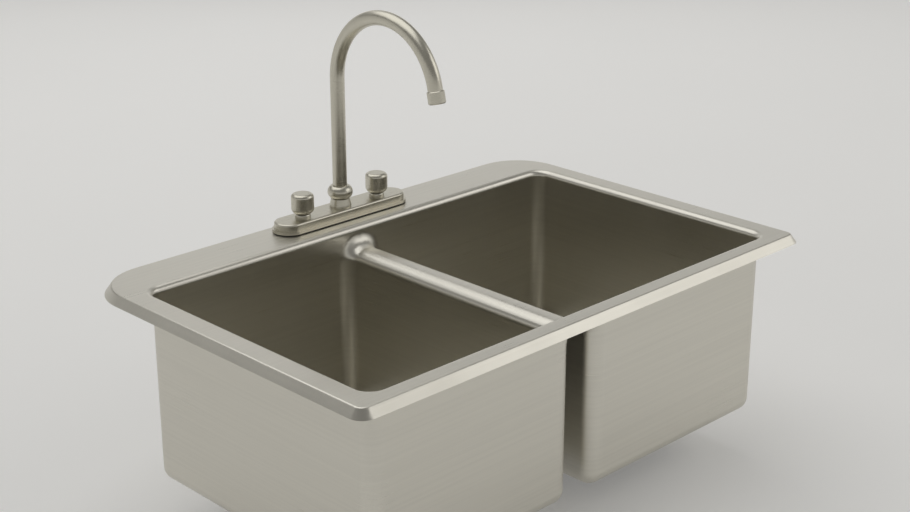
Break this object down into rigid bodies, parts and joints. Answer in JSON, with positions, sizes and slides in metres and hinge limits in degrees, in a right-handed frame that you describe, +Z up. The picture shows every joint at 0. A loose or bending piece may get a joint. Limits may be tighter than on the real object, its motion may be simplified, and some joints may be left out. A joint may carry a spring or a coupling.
{
  "type": "kitchen sink",
  "caption": "Drop-in steel kitchen sink with deep side-by-side bowls, a low divider, lift-out drain baskets and a swivelling gooseneck tap worked by round knobs.",
  "frame": {"origin": "middle of the rim's outline, on the worktop that the rim rests on", "axes": "+X along the sink to the right, +Y to the back where the tap stands, +Z up"},
  "size_m": [0.838, 0.56, 0.6558],
  "materials": {
    "sink_sheet": "satin",
    "sound_rubber": "matt",
    "drain_steel": "polished",
    "basket_steel": "satin",
    "seal_rubber": "matt",
    "slip_fibre": "plain",
    "cast_zinc": "plain",
    "satin_nickel": "satin",
    "valve_brass": "plain",
    "valve_plastic": "matt",
    "screw_steel": "plain"
  },
  "bodies": {
    "sink": {"base_gasket": "seal_rubber", "cold_bonnet_nut": "satin_nickel", "cold_cartridge": "valve_plastic", "cold_shank_nut": "valve_brass", "cold_shank_washer": "seal_rubber", "cold_valve_body": "valve_brass", "cold_waterway": "valve_brass", "faucet_base": "satin_nickel", "hot_bonnet_nut": "satin_nickel", "hot_cartridge": "valve_plastic", "hot_shank_nut": "valve_brass", "hot_shank_washer": "seal_rubber", "hot_valve_body": "valve_brass", "hot_waterway": "valve_brass", "left_bowl": "sink_sheet", "left_friction_washer": "slip_fibre", "left_sound_pad": "sound_rubber", "left_strainer_body": "drain_steel", "left_strainer_gasket": "seal_rubber", "left_strainer_locknut": "cast_zinc", "lower_o_ring": "seal_rubber", "right_bowl": "sink_sheet", "right_friction_washer": "slip_fibre", "right_sound_pad": "sound_rubber", "right_strainer_body": "drain_steel", "right_strainer_gasket": "seal_rubber", "right_strainer_locknut": "cast_zinc", "sink_deck": "sink_sheet", "spout_bush": "valve_plastic", "spout_hub": "valve_brass", "spout_nut": "satin_nickel", "spout_shank_nut": "valve_brass", "spout_shank_washer": "seal_rubber", "upper_o_ring": "seal_rubber"},
    "spout": {"spout_tube": "satin_nickel", "spout_collar": "satin_nickel", "spout_retainer": "valve_brass", "aerator_shell": "satin_nickel", "aerator_washer": "seal_rubber", "aerator_insert": "valve_plastic"},
    "hot_handle": {"hot_knob": "satin_nickel", "hot_knob_screw": "screw_steel", "hot_index_cap": "satin_nickel", "hot_stem": "valve_brass"},
    "cold_handle": {"cold_knob": "satin_nickel", "cold_knob_screw": "screw_steel", "cold_index_cap": "satin_nickel", "cold_stem": "valve_brass"},
    "left_basket": {"left_strainer_basket": "basket_steel"},
    "right_basket": {"right_strainer_basket": "basket_steel"}
  },
  "joints": [
    {"name": "spout_swivel", "type": "hinge", "parent": "sink", "child": "spout", "pos_m": [0, 0.24, 0.06], "axis": [0, 0, 1], "range_deg": [-90, 90]},
    {"name": "hot_knob_turn", "type": "hinge", "parent": "sink", "child": "hot_handle", "pos_m": [-0.071, 0.24, 0.045], "axis": [0, 0, 1], "range_deg": [0, 90]},
    {"name": "cold_knob_turn", "type": "hinge", "parent": "sink", "child": "cold_handle", "pos_m": [0.071, 0.24, 0.045], "axis": [0, 0, 1], "range_deg": [-90, 0]},
    {"name": "left_basket_lift", "type": "slide", "parent": "sink", "child": "left_basket", "axis": [0, 0, 1], "range_m": [0, 0.32]},
    {"name": "right_basket_lift", "type": "slide", "parent": "sink", "child": "right_basket", "axis": [0, 0, 1], "range_m": [0, 0.32]}
  ]
}
